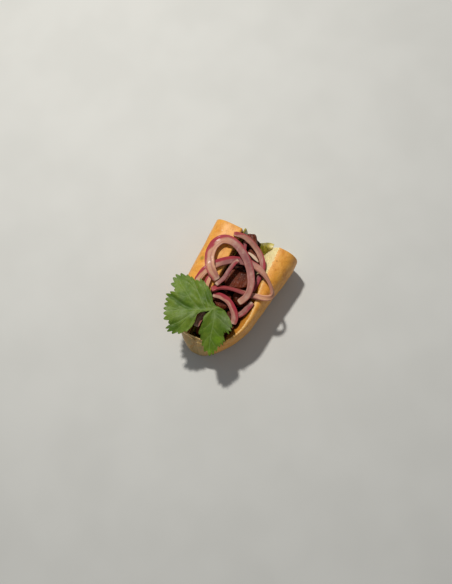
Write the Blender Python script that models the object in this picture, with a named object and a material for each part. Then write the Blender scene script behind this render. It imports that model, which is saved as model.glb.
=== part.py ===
"""Tuna taco: a soft split roll, mashed avocado, tuna chunks, pickled onion and a coriander leaf.

The roll lies along X. Its cut end faces +X and its rounded end -X. Z is up, and the roll
rests on the flat of its underside at Z = 0. Lengths are in millimetres until a mesh is made.
"""
import math

import bmesh
import bpy
import numpy as np

MM = 0.001
GAP = 0.4            # clear space left between pieces that touch

# The roll
CUT_X = 46.8         # cut end, on the centre line
CUT_SKEW = 0.035     # the knife ran a little askew
NOSE_Y = 11.0        # centre line of the rounded end
LEFT_WIDE = 38.2     # widest reach of the left wall
RIGHT_WIDE = -33.0   # widest reach of the right wall
LEFT_HIGH = 40.5     # crown of the left wall at the cut
RIGHT_HIGH = 37.0    # crown of the right wall at the cut
BELLY_LEFT = 21.0    # height of the widest line, left and right
BELLY_RIGHT = 19.0
HOLLOW_FLOOR = 12.0  # bread left under the filling
HOLLOW_END = -39.2   # the slit stops here, a thin rim short of the nose
LEAN = 3.5           # the nose runs out further at its foot
CREST_BACK = 5.2     # and its crest stands back, so that the rim there is thin
SLIT = 31.8          # width between the two cut edges of the crust
RIGHT_IN = 4.0       # the right edge comes in by this much along the cut half
SIDE_POINTS = 30     # points along the crust, and as many along the hollow
STATIONS = (46.8, 46.0, 42.0, 36.0, 29.0, 22.0, 15.0, 8.0, 1.0, -6.0, -12.0, -18.0, -23.0,
            -27.0, -31.0, -34.5, -37.5, HOLLOW_END, -40.2, -41.5, -43.2, -44.8, -46.0, -46.6)

# The filling: avocado lines the hollow, tuna fills it, and larger chunks lie on top
LEFT_SMEAR = 9.5     # how far below the crust edge the avocado ends on the left
RIGHT_SMEAR = 17.0   # and on the right, where bare crumb shows
SQUEEZED = 5.0       # how much higher it ends at the cut, where it is squeezed up
LINING_THICK = 3.5   # avocado on the floor of the hollow
LINING_OUT = 2.8     # how far the avocado bulges past the cut end
TUNA_LEVEL = 26.0    # top of the packed tuna under the chunks
TUNA_OUT = 1.2

# Tuna chunks: centre x, centre y, half length, half width, turn in degrees, top height
CHUNKS = (
    (42.6, 3.4, 7.6, 3.8, 37.0, 35.0),
    (33.0, -2.6, 8.0, 6.0, 30.0, 34.0),
    (30.5, 8.6, 6.5, 4.4, 10.0, 31.5),
    (11.0, 2.2, 9.0, 10.4, 10.0, 35.5),
    (0.6, -6.4, 6.2, 6.6, -20.0, 34.0),
    (-7.5, 5.0, 6.2, 8.0, 15.0, 34.5),
    (-14.5, -6.4, 6.8, 4.6, 30.0, 30.5),
    (-21.5, 4.5, 6.2, 7.2, -15.0, 33.5),
    (-32.0, 8.0, 5.4, 6.0, 20.0, 31.5),
    (-29.0, -4.6, 5.6, 3.8, 35.0, 30.5),
)

# Onion strips: knots of x, y, z, roll in degrees and width. At roll 0 a strip lies flat with
# its skin to the left of its run; at 90 it stands on edge, skin up.
ONION_THICK = 2.0
ONIONS = {
    "onion_1": (
        (3.0, 13.5, 43.4, 0, 5.5), (8.5, 21.0, 45.4, 0, 7.0), (16.0, 25.5, 44.8, -8, 7.4),
        (25.4, 26.9, 43.6, -10, 7.4), (32.4, 23.2, 43.6, -5, 7.0), (34.3, 16.0, 43.6, 0, 6.4),
        (31.6, 8.0, 43.8, 0, 6.0), (25.3, -0.5, 43.6, 0, 6.0), (18.8, -5.8, 43.2, 0, 5.6),
        (12.5, -9.6, 43.6, 0, 5.4), (6.0, -11.4, 43.2, 0, 5.0), (0.5, -11.0, 41.8, 0, 4.8),
        (-5.0, -7.8, 39.4, 0, 4.6),
    ),
    "onion_2": (
        (-3.5, 27.0, 42.0, 0, 5.0), (6.5, 24.5, 42.8, 0, 5.6), (15.0, 18.6, 42.2, 0, 6.0),
        (21.4, 11.0, 40.7, 0, 5.8), (24.8, 2.0, 38.8, 0, 5.6), (25.2, -6.0, 38.8, -5, 5.4),
        (22.7, -13.6, 40.6, -40, 5.0), (18.9, -20.2, 40.2, -70, 4.8), (13.8, -25.7, 38.4, -70, 4.6),
        (9.9, -27.3, 37.4, -55, 4.4), (6.6, -24.3, 38.2, -15, 4.2), (4.2, -16.0, 38.6, 20, 4.2),
        (3.4, -7.0, 38.0, 55, 4.4), (2.0, 3.0, 38.8, 65, 4.4), (-1.0, 10.0, 40.8, 45, 4.4),
        (-4.8, 14.4, 41.8, 10, 4.2),
    ),
    "onion_3": (
        (-5.8, 18.8, 42.0, 0, 4.2), (0.0, 19.6, 42.0, 0, 4.2), (4.0, 19.6, 41.8, 0, 3.2),
    ),
    "onion_4": (
        (-7.4, 12.2, 38.8, 0, 4.0), (-6.0, 7.0, 38.2, 0, 4.6), (-6.7, 0.4, 37.4, 0, 4.8),
        (-10.5, -5.4, 36.6, 0, 5.0), (-15.4, -9.2, 36.0, 0, 5.0), (-20.6, -10.2, 35.2, 0, 4.6),
    ),
    "onion_5": (
        (40.4, 17.4, 42.4, 0, 3.6), (41.8, 10.7, 41.0, 0, 4.2), (40.8, 4.5, 39.2, 0, 4.4),
        (38.1, -2.1, 37.0, 5, 4.4), (34.0, -7.6, 36.4, 6, 4.4), (28.6, -11.6, 36.4, 6, 4.2),
        (23.2, -13.1, 36.4, 6, 3.8), (17.4, -13.2, 35.9, 4, 3.4), (12.0, -13.1, 35.4, 0, 3.4),
        (7.6, -12.8, 35.2, 0, 3.2),
    ),
    "onion_6": (
        (23.0, 5.8, 42.0, 0, 2.8), (19.0, 7.4, 43.0, 0, 2.9), (12.5, 8.8, 42.8, 0, 3.0),
        (6.1, 9.8, 42.4, 0, 3.0), (-0.6, 12.6, 43.6, 0, 3.0),
    ),
    "onion_7": (
        (-0.6, -16.4, 38.2, 0, 3.8), (-5.0, -15.2, 36.8, 0, 4.0), (-10.0, -13.2, 35.2, 0, 4.0),
        (-14.2, -9.8, 33.4, 0, 3.4),
    ),
    "onion_8": (
        (-21.8, 12.0, 37.4, 0, 4.6), (-27.7, 13.6, 37.0, 0, 4.8), (-33.6, 13.8, 36.4, 0, 4.4),
    ),
    "onion_9": (
        (43.0, 9.4, 36.4, 0, 2.4), (37.0, 6.8, 35.8, 0, 2.4), (32.0, 5.2, 35.6, 0, 2.2),
    ),
    "onion_sliver": (
        (33.2, 2.4, 36.0, 0, 1.2), (31.6, -2.9, 36.0, 0, 2.4), (29.6, -7.4, 35.6, 0, 1.2),
    ),
}

# The coriander leaf: angle and reach of the tip of each tooth, seen from the joint
LEAF_JOINT = (-17.0, 6.6, 45.5)
LEAF_THICK = 0.5
LEAF_RINGS = 5
TOOTH = 1.3          # depth of the nicks between teeth
LEAFLET_LEFT = (
    (34, 4.4), (32, 9.2), (37, 12.4), (41, 17.3), (45, 21.8), (48.5, 24.2), (56.5, 24.6),
    (60, 29.4), (62.5, 32.4), (67.5, 36.6), (72.5, 38.9), (77, 38.6), (84.5, 37), (89, 32.4),
    (93.5, 34.6), (97.2, 37), (103, 36.3), (108.8, 36.6), (114, 36.9), (120, 36.9),
    (126.5, 37.2), (132.8, 34.4), (137.2, 37.7), (141, 37.5), (146, 35.2), (150.6, 31.5),
    (156, 26.2),
)
LEAFLET_LOWER = (
    (176, 21.6), (182.5, 24.6), (187, 28), (192, 31.4), (199.8, 33.9), (204, 33.2), (208.5, 30.8),
    (214, 28), (219, 27.2), (223.5, 25.2), (226.8, 20.6), (231, 19.6), (236, 21.6),
    (243.2, 20.9), (249.2, 19.6), (260, 15), (270, 11.2), (282, 8.6), (296, 4.6),
)
LEAF_BACK = ((322, 2.4), (346, 2.2), (371, 2.8))
# The slot between the leaflets: where its spokes end, and how its two edges curve
SLOT_REACHES = (20.5, 16.0, 12.5, 9.5, 6.5, 4.0)
SLOT_STEP = 1.5
SLOT_APEX = (153, 3.4)
SLOT_LEFT = ((0, 152), (3.4, 150), (7, 138.5), (9.8, 136.5), (12.4, 139.5), (16.2, 156),
             (20.5, 163), (26.2, 165))
SLOT_LOWER = ((0, 154), (3.7, 156.5), (6.5, 153), (9.5, 154), (12.5, 163), (16, 165),
              (20, 165.5), (21.6, 167))
LEFT_START = 30
LOWER_STOP = 305


def smooth_path(knots, count):
    """Points spread evenly in parameter along a curve that passes through every knot."""
    knots = np.asarray(knots, dtype=float)
    ends = np.vstack([2 * knots[0] - knots[1], knots, 2 * knots[-1] - knots[-2]])
    t = np.linspace(0, len(knots) - 1 - 1e-9, count)
    i = t.astype(int)
    f = (t - i)[:, None]
    a, b, c, d = ends[i], ends[i + 1], ends[i + 2], ends[i + 3]
    return 0.5 * (2 * b + (c - a) * f + (2 * a - 5 * b + 4 * c - d) * f ** 2
                  + (3 * b - a - 3 * c + d) * f ** 3)


def make_object(name, points, faces, colour, roughness):
    """Turns points in millimetres and faces into a named object with its own material."""
    mesh = bpy.data.meshes.new(name)
    mesh.from_pydata([tuple(p) for p in np.asarray(points) * MM], [], faces)
    shape = bmesh.new()
    shape.from_mesh(mesh)
    bmesh.ops.recalc_face_normals(shape, faces=shape.faces)
    bmesh.ops.triangulate(shape, faces=shape.faces)
    shape.to_mesh(mesh)
    shape.free()
    thing = bpy.data.objects.new(name, mesh)
    bpy.context.scene.collection.objects.link(thing)
    material = bpy.data.materials.new(name + "_surface")
    material.use_nodes = True
    shader = material.node_tree.nodes["Principled BSDF"]
    shader.inputs["Base Color"].default_value = (*colour, 1.0)
    shader.inputs["Roughness"].default_value = roughness
    shader.inputs["Metallic"].default_value = 0.0
    mesh.materials.append(material)
    return thing


def tube_faces(stations, ring):
    """Quads that join rings of equal size, one after the other."""
    return [(s * ring + k, s * ring + (k + 1) % ring,
             (s + 1) * ring + (k + 1) % ring, (s + 1) * ring + k)
            for s in range(stations - 1) for k in range(ring)]


def strip_cap(first, side):
    """Closes a ring whose first half and second half run side by side and share both ends."""
    ring = 2 * side - 2
    outer = [first + k for k in range(side)]
    inner = [first] + [first + ring - k for k in range(1, side - 1)] + [first + side - 1]
    faces = [(outer[0], outer[1], inner[1])]
    faces += [(outer[k], outer[k + 1], inner[k + 1], inner[k]) for k in range(1, side - 2)]
    faces.append((outer[-2], outer[-1], inner[-2]))
    return faces


# ---------------------------------------------------------------- the roll

def left_reach(x):
    """Plan outline of the left wall: straight, then one long curve round to the nose."""
    u = np.clip(-x / 47, 0, 1)
    return NOSE_Y + (LEFT_WIDE - NOSE_Y) * np.sqrt(1 - u ** 1.67) - 0.03 * max(0.0, x)


def right_reach(x):
    """Plan outline of the right wall: a steady taper, then round to the nose."""
    u = np.clip((-15 - x) / 32, 0, 1)
    taper = 0.2 * max(0.0, 38 - x)
    return NOSE_Y + (RIGHT_WIDE - NOSE_Y + taper) * np.sqrt(1 - u ** 2)


def crowns(x):
    """Heights of the left and right crowns, which sink towards the nose."""
    s = (CUT_X - x) / 90
    g = np.clip((-15 - x) / 30, 0, 1)
    return LEFT_HIGH - 1.4 * s - 8.5 * g ** 2, RIGHT_HIGH - 0.8 * s - 7.5 * g ** 1.6


def slit_edges(x):
    """Y of the two crust edges of the slit."""
    left = min(13.8 + 4.7 * max(0.0, (20 - x) / 58) ** 1.5, left_reach(x) - 4.0)
    thin = right_reach(x) + 3.6
    right = 0.5 * (-18 + thin + math.hypot(-18 - thin, 2.0))
    u = min(1.0, max(0.0, (x + 10) / 28))
    return left, right + RIGHT_IN * u * u * (3 - 2 * u)


def arc(centre, reach, low, high, start, stop, power, count):
    """A stretch of superellipse in the Y-Z plane, by angle from its widest point."""
    a = np.linspace(start, stop, count)
    y = centre + (reach - centre) * np.abs(np.cos(a)) ** (2 / power) * np.sign(np.cos(a))
    z = low + (high - low) * np.abs(np.sin(a)) ** (2 / power)
    return np.column_stack([y, z])


def edge_angle(edge, centre, reach, power):
    """The angle at which a crown's superellipse passes the slit edge."""
    share = min(1.0, (centre - edge) / (reach - centre))
    return math.pi - math.acos(share ** (power / 2))


def crust_path(x):
    """The crust from the left slit edge, over the crown, round the base to the right edge."""
    left, right = slit_edges(x)
    wide_left, wide_right = left_reach(x), right_reach(x)
    high_left, high_right = crowns(x)
    centre_left = left + 0.28 * (wide_left - left)
    centre_right = right + 0.29 * (wide_right - right)
    foot_left = NOSE_Y + 0.62 * (wide_left - NOSE_Y)
    foot_right = NOSE_Y + 0.78 * (wide_right - NOSE_Y)
    crown_left = arc(centre_left, wide_left, BELLY_LEFT, high_left,
                     edge_angle(left, centre_left, wide_left, 3), 0, 3, 9)
    belly_left = arc(foot_left, wide_left, BELLY_LEFT, 0, 0, math.pi / 2, 2, 6)[1:]
    base = np.column_stack([np.linspace(foot_left, foot_right, 6)[1:-1], np.zeros(4)])
    belly_right = arc(foot_right, wide_right, BELLY_RIGHT, 0, math.pi / 2, 0, 2, 5)
    crown_right = arc(centre_right, wide_right, BELLY_RIGHT, high_right, 0,
                      0.875 * edge_angle(right, centre_right, wide_right, 2.4), 2.4, 8)[1:]
    return np.vstack([crown_left, belly_left, base, belly_right, crown_right])


def hollow_floor(x):
    """Height of the hollow's floor, which rises a little towards the nose."""
    return HOLLOW_FLOOR + 2 * max(0.0, min(1.0, (-22 - x) / 16))


def hollow_path(x, crust):
    """The cut faces and floor of the hollow, from the left slit edge to the right one."""
    left, right = crust[0], crust[-1]
    k = (left[0] - right[0]) / SLIT
    floor = hollow_floor(x)
    knots = (left, (left[0] - 1.2 * k, 26), (left[0] - 2.6 * k, floor + 4),
             (left[0] - 6.5 * k, floor), (right[0] + 16 * k, floor),
             (right[0] + 12 * k, floor + 5), (right[0] + 6.5 * k, 27), right)
    path = smooth_path(knots, SIDE_POINTS)
    open_share = min(1.0, max(0.0, (x - (HOLLOW_END - 1)) / 1.0))
    across = np.linspace(0, 1, SIDE_POINTS)
    line = left + (right - left) * across[:, None]
    line[:, 1] += 1.2 * np.sin(math.pi * across)
    return line + open_share * (path - line)


def settle(x, yz):
    """Puts a section in place: the skewed cut at one end, the run-out foot at the nose."""
    y, z = yz[:, 0], yz[:, 1]
    g = min(1.0, max(0.0, (-15 - x) / 30)) ** 2
    skew = CUT_SKEW * min(1.0, max(0.0, (x - 10) / (CUT_X - 10))) ** 2
    end = min(1.0, max(0.0, (HOLLOW_END - 1 - x) / 6.4))
    shifted = x + skew * y - LEAN * g * np.clip(1 - z / 34, 0, 1)
    shifted += CREST_BACK * end * np.clip((z - BELLY_RIGHT) / 12, 0, 1) ** 1.3
    return np.column_stack([shifted, y, z])


def build_bread():
    """Lofts the sections of the split roll and closes both ends."""
    rings = []
    for x in STATIONS:
        crust = crust_path(x)
        hollow = hollow_path(x, crust)
        rings.append(settle(x, np.vstack([crust, hollow[-2:0:-1]])))
    ring = 2 * SIDE_POINTS - 2
    faces = tube_faces(len(rings), ring)
    faces += strip_cap(0, SIDE_POINTS)
    faces += strip_cap((len(rings) - 1) * ring, SIDE_POINTS)
    return make_object("bread", np.vstack(rings), faces, (0.74, 0.42, 0.12), 0.5)


# ---------------------------------------------------------------- the filling

def nest(below, left_top, right_top, gap, count):
    """The part of a trough between two heights of its flanks, lifted clear of its surface."""
    step = np.gradient(below, axis=0)
    normal = np.column_stack([step[:, 1], -step[:, 0]])
    normal /= np.linalg.norm(normal, axis=1)[:, None]
    lifted = below + gap * normal
    low = int(np.argmin(lifted[:, 1]))
    order = np.arange(len(lifted))
    start = np.interp(-left_top, -lifted[:low + 1, 1], order[:low + 1])
    stop = np.interp(right_top, lifted[low:, 1], order[low:])
    at = np.linspace(start, stop, count)
    return np.column_stack([np.interp(at, order, lifted[:, k]) for k in (0, 1)])


def avocado_section(x):
    """Underside and top of the avocado at one station, both from the left wall to the right."""
    inside = max(min(x, STATIONS[1]), HOLLOW_END)
    hollow = hollow_path(inside, crust_path(inside))
    right_top = max(hollow[-1, 1] - RIGHT_SMEAR, hollow_floor(inside) + 8)
    squeezed = min(1.0, max(0.0, (x - 36) / 9)) ** 2
    under = nest(hollow, hollow[0, 1] - LEFT_SMEAR + SQUEEZED * squeezed + 0.7 * math.sin(0.33 * x),
                 right_top + 1.8 * SQUEEZED * squeezed + 0.8 * math.sin(0.41 * x + 1),
                 1.2 * GAP, 22)
    first, last = under[0], under[-1]
    width = first[0] - last[0]
    swell = 1 + 0.75 * squeezed
    deep = hollow_floor(inside) + LINING_THICK + 0.4 * math.sin(0.27 * x + 2)
    knots = (first, (first[0] - 0.06 * width, first[1] - 0.8), (first[0] - 0.11 * width, 24),
             (first[0] - 0.2 * width, deep + 2.0), (first[0] - 0.5 * width, deep),
             (last[0] + 0.24 * swell * width, deep + 1.5 * swell),
             (last[0] + 0.13 * swell * width, last[1] - 3),
             (last[0] + 0.07 * swell * width, last[1] - 0.3 * swell), last)
    return under, smooth_path(knots, 22)


def packed_section(x):
    """Underside and lumpy top of the packed tuna at one station."""
    clear = 1.6 + 2.4 * max(0.0, min(1.0, (-26 - x) / 6))
    under = nest(avocado_section(x)[1], TUNA_LEVEL, hollow_floor(x) + 7.5, clear * GAP, 18)
    across = np.linspace(0, 1, 18)
    top = under[0] + (under[-1] - under[0]) * across[:, None]
    lumps = 0.7 * np.sin(0.55 * x + 9 * across) + 0.5 * np.sin(0.9 * x - 14 * across)
    rise = np.sin(math.pi * across) ** 0.6
    top[:, 1] += rise * (0.5 * (under[0, 1] - under[-1, 1]) + 0.4 + lumps)
    return under, top


def build_layer(name, section, stations, colour, roughness):
    """Lofts a layer of the filling along the roll, with its outer end drawn in a little."""
    rings = []
    for n, x in enumerate(stations):
        under, top = section(x)
        profile = np.vstack([under, top[-2:0:-1]])
        if n == 0:
            middle = profile.mean(axis=0)
            profile = middle + 0.9 * (profile - middle)
        rings.append(settle(x, profile))
    side = len(under)
    ring = 2 * side - 2
    faces = tube_faces(len(rings), ring)
    faces += strip_cap(0, side)
    faces += strip_cap((len(rings) - 1) * ring, side)
    return make_object(name, np.vstack(rings), faces, colour, roughness)


def support(x, y):
    """Height of what lies under a place, and the left limit there, between two stations."""
    x = min(max(x, STATIONS[-7] + 2), STATIONS[1])
    behind = max(n for n, s in enumerate(STATIONS) if s >= x)
    found = []
    for station in STATIONS[behind:behind + 2]:
        hollow = hollow_path(station, crust_path(station))
        tops = (packed_section(station)[1], avocado_section(station)[1], hollow)
        heights = [np.interp(y, t[::-1, 0], t[::-1, 1], left=0, right=0) for t in tops]
        found.append((max(heights) + GAP, np.interp(-29, -tops[1][:11, 1], tops[1][:11, 0])))
    share = (STATIONS[behind] - x) / (STATIONS[behind] - STATIONS[behind + 1])
    (height, limit), (next_height, next_limit) = found
    return height + share * (next_height - height), limit + share * (next_limit - limit)


def build_filling():
    """The avocado lining and the packed tuna inside it."""
    run = [s for s in STATIONS[1:] if s > HOLLOW_END]
    build_layer("avocado", avocado_section,
                [CUT_X + LINING_OUT, CUT_X + 0.6 * LINING_OUT] + run + [HOLLOW_END + 2 * GAP],
                (0.30, 0.25, 0.03), 0.45)
    build_layer("tuna", packed_section,
                [CUT_X + TUNA_OUT, CUT_X + 0.6 * TUNA_OUT] + run + [HOLLOW_END + 5 * GAP],
                (0.11, 0.03, 0.02), 0.4)


def build_chunk(index):
    """One lumpy chunk that keeps clear of the tuna below it and of its neighbours."""
    cx, cy, half_long, half_wide, turn, top = CHUNKS[index]
    around, rows = 16, 8
    phase = np.random.default_rng(40 + index).uniform(0, 2 * math.pi, 4)
    a = np.linspace(0, 2 * math.pi, around, endpoint=False)[None, :]
    p = np.linspace(-math.pi / 2, math.pi / 2, rows + 2)[1:-1, None]
    bump = (1 + 0.07 * np.sin(3 * a + 2 * p + phase[0]) + 0.06 * np.sin(2 * a - 3 * p + phase[1])
            + 0.04 * np.sin(5 * a + phase[2]))
    along = np.sign(np.cos(a)) * np.abs(np.cos(a)) ** 0.8 * np.cos(p) ** 0.6 * bump
    across = np.sign(np.sin(a)) * np.abs(np.sin(a)) ** 0.8 * np.cos(p) ** 0.6 * bump
    rise = np.sign(np.sin(p)) * np.abs(np.sin(p)) ** 0.8 + 0.1 * np.cos(p) * np.sin(2 * a + phase[3])
    floor = support(cx, cy)[0] + GAP
    c, s = math.cos(math.radians(turn)), math.sin(math.radians(turn))
    x = cx + c * half_long * along - s * half_wide * across
    y = cy + s * half_long * along + c * half_wide * across
    z = floor + 0.5 * (top - floor) * (1 + np.clip(rise, -1, 1))
    points = np.column_stack([x.ravel(), y.ravel(), z.ravel()])
    points = np.vstack([points, (cx, cy, floor), (cx, cy, top)])
    for other, spec in enumerate(CHUNKS):
        if other != index:
            away = np.array([spec[0] - cx, spec[1] - cy])
            far = np.linalg.norm(away)
            away /= far
            share = (half_long + half_wide) / (half_long + half_wide + spec[2] + spec[3])
            over = (points[:, :2] - (cx, cy)) @ away - (far * share - GAP)
            points[:, :2] -= np.maximum(over, 0)[:, None] * away
    for k, (px, py, pz) in enumerate(points):
        points[k, 1] = min(py, support(px, py)[1] - 2 * GAP)
        points[k, 2] = max(pz, support(px, points[k, 1])[0] + 3.0 * GAP + 0.08 * (pz - floor))
    faces = tube_faces(rows, around)
    low, high = len(points) - 2, len(points) - 1
    last = (rows - 1) * around
    faces += [(low, (k + 1) % around, k) for k in range(around)]
    faces += [(high, last + k, last + (k + 1) % around) for k in range(around)]
    return make_object(f"tuna_chunk_{index + 1}", points, faces, (0.14, 0.035, 0.02), 0.35)


# ---------------------------------------------------------------- the onion

def build_onion(name, knots):
    """A strip with a rounded section, rolled about its run and narrowed at both ends."""
    count = 3 * len(knots) + 1 if len(knots) > 4 else 10
    path = smooth_path(knots, count)
    run = np.gradient(path[:, :3], axis=0)
    run /= np.linalg.norm(run, axis=1)[:, None]
    flat = np.cross((0, 0, 1), run)
    flat /= np.linalg.norm(flat, axis=1)[:, None]
    upright = np.cross(run, flat)
    roll = np.radians(path[:, 3])[:, None]
    wide = flat * np.cos(roll) + upright * np.sin(roll)
    thick = upright * np.cos(roll) - flat * np.sin(roll)
    ends = np.minimum(np.arange(count), np.arange(count)[::-1])
    taper = np.where(ends == 0, 0.8, 1.0)[:, None]
    half = 0.5 * path[:, 4:5] * taper
    corner = ((1, 0.55), (0.8, 1), (-0.8, 1), (-1, 0.55), (-1, -0.55), (-0.8, -1), (0.8, -1),
              (1, -0.55))
    rings = np.stack([path[:, :3] + wide * half * w + thick * 0.5 * ONION_THICK * taper * t
                      for w, t in corner], axis=1)
    faces = tube_faces(count, 8)
    faces.append(tuple(range(8)))
    faces.append(tuple(range(8 * count - 1, 8 * count - 9, -1)))
    return make_object(name, rings.reshape(-1, 3), faces, (0.56, 0.24, 0.22), 0.3)


# ---------------------------------------------------------------- the leaf

def toothed(tips):
    """Adds a nick between the tips of neighbouring teeth, except close to the joint."""
    full = [tips[0]]
    for before, after in zip(tips, tips[1:]):
        if min(before[1], after[1]) > 15:
            full.append((0.5 * (before[0] + after[0]), 0.5 * (before[1] + after[1]) - TOOTH))
        full.append(after)
    return full


def leaf_spokes():
    """Angle and reach of every spoke: left leaflet, both edges of the slot, lower leaflet."""
    steps = [SLOT_STEP * (n + 1) for n in range(len(SLOT_REACHES))]
    left, lower = toothed(LEAFLET_LEFT), toothed(LEAFLET_LOWER)
    left += [(left[-1][0] + s, reach) for s, reach in zip(steps, SLOT_REACHES)]
    edge = [(lower[0][0] - s, reach) for s, reach in zip(steps, SLOT_REACHES)]
    middle = (0.5 * (left[-1][0] + edge[-1][0]), SLOT_APEX[1])
    return left + [middle] + edge[::-1] + lower + list(LEAF_BACK)


def swing(angle, reach):
    """Direction of a spoke at a distance from the joint, drawn aside along the slot."""
    left_stop = LEAFLET_LEFT[-1][0] + SLOT_STEP * len(SLOT_REACHES)
    lower_start = LEAFLET_LOWER[0][0] - SLOT_STEP * len(SLOT_REACHES)
    if angle <= left_stop:
        edge = np.interp(reach, *zip(*SLOT_LEFT))
        return LEFT_START + (angle - LEFT_START) * (edge - LEFT_START) / (left_stop - LEFT_START)
    if angle < lower_start:
        return SLOT_APEX[0]
    if angle < LOWER_STOP:
        edge = np.interp(reach, *zip(*SLOT_LOWER))
        return LOWER_STOP - (LOWER_STOP - angle) * (LOWER_STOP - edge) / (LOWER_STOP - lower_start)
    return angle


def leaf_height(angle, reach):
    """The leaf sags away from its joint, the lower leaflet more, and ripples between veins."""
    lower = 1 / (1 + math.exp(-(angle - 169) / 6)) if angle < 320 else 0.0
    sag = (1 - lower) * 4.5 * (reach / 40) ** 2 + lower * 10.0 * (reach / 36) ** 1.7
    ripple = 0.7 * math.sin(math.radians(9 * angle)) * min(1.0, reach / 20)
    return LEAF_JOINT[2] - sag + ripple


def build_leaf():
    """A thin wavy sheet of two leaflets that meet at the joint."""
    spokes = leaf_spokes()
    count = len(spokes)
    points = [LEAF_JOINT]
    for ring in range(1, LEAF_RINGS + 1):
        share = ring / LEAF_RINGS
        for angle, reach in spokes:
            r = reach * share
            turned = swing(angle, r)
            points.append((LEAF_JOINT[0] + r * math.cos(math.radians(turned)),
                           LEAF_JOINT[1] + r * math.sin(math.radians(turned)),
                           leaf_height(turned, r)))
    top = np.array(points)
    under = top - (0, 0, LEAF_THICK)
    sheet = [(0, 1 + k, 1 + (k + 1) % count) for k in range(count)]
    for ring in range(LEAF_RINGS - 1):
        a, b = 1 + ring * count, 1 + (ring + 1) * count
        for k in range(count):
            n = (k + 1) % count
            sheet.append((a + k, b + k, b + n))
            sheet.append((a + k, b + n, a + n))
    shift = len(top)
    rim = 1 + (LEAF_RINGS - 1) * count
    faces = sheet + [tuple(shift + v for v in reversed(face)) for face in sheet]
    for k in range(count):
        n = (k + 1) % count
        faces.append((rim + k, shift + rim + k, shift + rim + n))
        faces.append((rim + k, shift + rim + n, rim + n))
    return make_object("coriander_leaf", np.vstack([top, under]), faces, (0.13, 0.20, 0.04), 0.5)


def main():
    for thing in list(bpy.data.objects):
        bpy.data.objects.remove(thing, do_unlink=True)
    build_bread()
    build_filling()
    for index in range(len(CHUNKS)):
        build_chunk(index)
    for name, knots in ONIONS.items():
        build_onion(name, knots)
    build_leaf()


main()
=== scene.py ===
"""Looks of the tuna taco: a soft split roll with avocado, tuna, pickled onion and coriander.

Every piece is a surface worked out on a grid, in millimetres, from the same sections and knots
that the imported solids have, with the finer relief of crust, crumb, fish, onion and leaf on it.
"""

from math import acos, cos, hypot, pi, radians, sin, sqrt

import bmesh
import bpy
import numpy as np
from mathutils import Matrix, Vector


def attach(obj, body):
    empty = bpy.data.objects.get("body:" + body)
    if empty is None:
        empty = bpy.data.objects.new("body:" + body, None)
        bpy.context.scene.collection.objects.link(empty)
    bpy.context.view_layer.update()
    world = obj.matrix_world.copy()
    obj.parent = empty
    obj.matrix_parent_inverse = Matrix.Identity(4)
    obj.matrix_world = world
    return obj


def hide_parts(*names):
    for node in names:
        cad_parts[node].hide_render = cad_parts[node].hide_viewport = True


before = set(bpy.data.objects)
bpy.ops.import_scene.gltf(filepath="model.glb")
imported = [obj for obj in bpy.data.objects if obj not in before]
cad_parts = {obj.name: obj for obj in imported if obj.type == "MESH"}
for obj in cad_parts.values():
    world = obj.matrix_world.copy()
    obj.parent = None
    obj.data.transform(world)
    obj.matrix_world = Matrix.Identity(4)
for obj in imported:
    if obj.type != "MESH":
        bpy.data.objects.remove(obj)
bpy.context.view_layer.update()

MM = 0.001
# Clearance between neighbouring pieces
GAP = 0.4

# The roll, in millimetres
CUT_X = 46.8
CUT_SKEW = 0.035
NOSE_TIP = 47
NOSE_Y = 11
TAPER_FROM = -15
TAPER_LONG = 30
LEFT_WIDE = 38.2
RIGHT_WIDE = -33
LEFT_HIGH = 40.5
RIGHT_HIGH = 37
BELLY_LEFT = 21
BELLY_RIGHT = 19
HOLLOW_FLOOR = 12
HOLLOW_END = -39.2
CLOSING = 1
NOSE_WALL = 6.4
NOSE_BULGE = 0.38
LEAN = 3.5
CREST_BACK = 5.2
SLIT = 31.8
SLIT_LEFT = 13.8
SLIT_RIGHT = -18
RIGHT_IN = 4
RIM_LEFT = 4
RIM_RIGHT = 3.6
CRUST_POINTS = 176
# How the nose is rounded off: where it starts, where it is full, and how many times over
ROUND_FROM = -40.4
ROUND_FULL = -43
ROUND_TIMES = 60
# Stretches over which the colour changes: slit to closed top, its rear, and its front edge; the
# closed top and front edge carry a painted highlight
LID = (-38.6, -39.4)
REAR = (-40.2, -41.4)
FRONT = (-38.4, -39.4)
# Specks on the crust: centre, radius and colour
CRUST_SPECKS = (
    ((14.6, 31.8, 38), 2.8, (0.4, 0.25, 0.02)), ((4.4, 30.7, 36.5), 2.2, (0.46, 0.29, 0.03)),
    ((38.8, 29.4, 40), 3.4, (0.66, 0.24, 0.01)), ((24, 33, 37), 2, (0.62, 0.36, 0.03)),
    ((40, 27.2, 40.2), 0.9, (0.9, 0.8, 0.62)), ((35.8, -19.8, 37), 1, (0.42, 0.14, 0.01)),
)

# The filling
LEFT_SMEAR = 9.5
RIGHT_SMEAR = 17
SQUEEZED = 5
LINING_THICK = 3.5
LINING_OUT = 2.8
TUNA_LEVEL = 26
TUNA_OUT = 1.2

# Tuna chunks: centre x, centre y, half length, half width, turn in degrees, top height
CHUNKS = (
    (42.6, 3.4, 7.6, 3.8, 37, 35), (33, -2.6, 8, 6, 30, 34),
    (30.5, 8.6, 6.5, 4.4, 10, 31.5), (11, 2.2, 9, 10.4, 10, 35.5),
    (0.6, -6.4, 6.2, 6.6, -20, 34), (-7.5, 5, 6.2, 8, 15, 34.5),
    (-14.5, -6.4, 6.8, 4.6, 30, 30.5), (-21.5, 4.5, 6.2, 7.2, -15, 33.5),
    (-32, 8, 5.4, 6, 20, 31.5), (-29, -4.6, 5.6, 3.8, 35, 30.5),
)

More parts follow.
